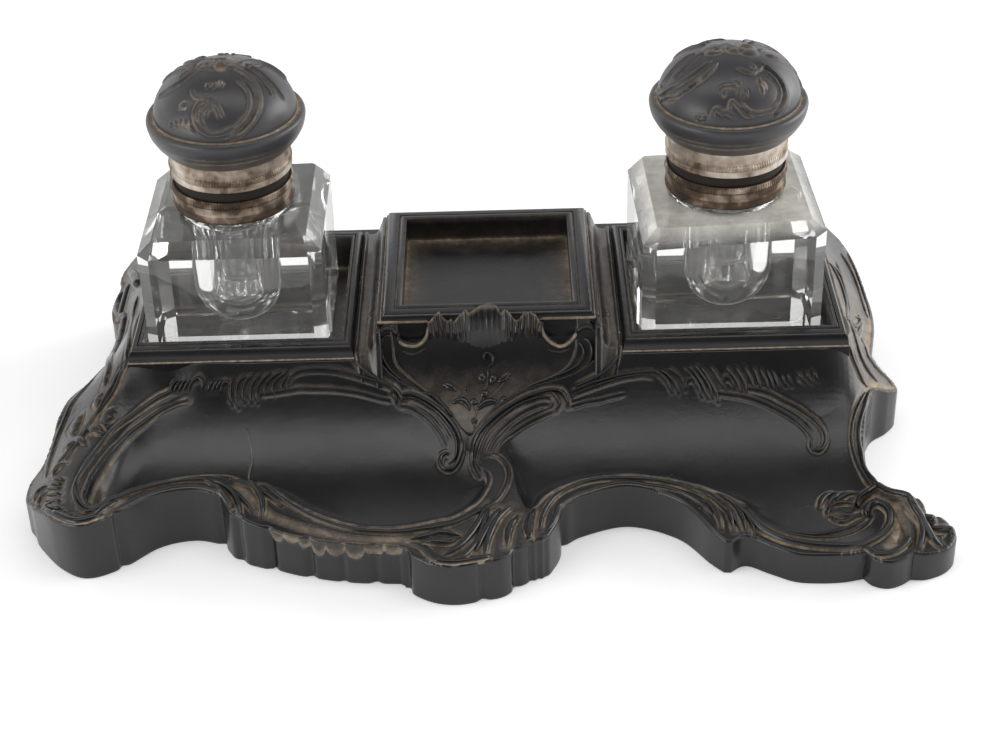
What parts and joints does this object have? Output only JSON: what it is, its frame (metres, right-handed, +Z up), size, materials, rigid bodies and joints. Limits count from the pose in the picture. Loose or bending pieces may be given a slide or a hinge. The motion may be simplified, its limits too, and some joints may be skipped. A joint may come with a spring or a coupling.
{
  "type": "desk inkstand",
  "caption": "Moulded rococo desk inkstand with pen trough, small tray and cut-glass ink bottles under hinged domed lids.",
  "frame": {"origin": "on the table, under the middle of the stand's outline", "axes": "+X along the stand to its right foot, +Y to its back, +Z up"},
  "size_m": [0.244, 0.1402, 0.1054],
  "materials": {
    "stand": "satin moulded composition, near black, brown dust in the hollows",
    "glass": "clear cut glass, polished",
    "cement": "dark setting cement",
    "collar_metal": "tarnished nickel silver with milled bead lines",
    "pin_metal": "tarnished",
    "lid_metal": "tarnished nickel silver with a milled line",
    "dome": "matte moulded composition, dark grey, brown in the groove"
  },
  "bodies": {
    "stand": {"stand": "stand"},
    "left_bottle": {"left_bottle": "glass", "left_cement": "cement", "left_collar": "collar_metal", "left_hinge_pin": "pin_metal"},
    "left_lid": {"left_lid_ring": "lid_metal", "left_dome": "dome"},
    "right_bottle": {"right_bottle": "glass", "right_cement": "cement", "right_collar": "collar_metal", "right_hinge_pin": "pin_metal"},
    "right_lid": {"right_lid_ring": "lid_metal", "right_dome": "dome"}
  },
  "joints": [
    {"name": "left_bottle_lift", "type": "slide", "parent": "stand", "child": "left_bottle", "axis": [0, 0, 1], "range_m": [0, 0.08]},
    {"name": "left_lid_hinge", "type": "hinge", "parent": "left_bottle", "child": "left_lid", "pos_m": [-0.06702, 0.04965, 0.07385], "axis": [-1, 0, 0], "range_deg": [0, 105]},
    {"name": "right_bottle_lift", "type": "slide", "parent": "stand", "child": "right_bottle", "axis": [0, 0, 1], "range_m": [0, 0.08]},
    {"name": "right_lid_hinge", "type": "hinge", "parent": "right_bottle", "child": "right_lid", "pos_m": [0.06873, 0.05084, 0.07385], "axis": [-0.9994, -0.0349, 0], "range_deg": [0, 105]}
  ]
}
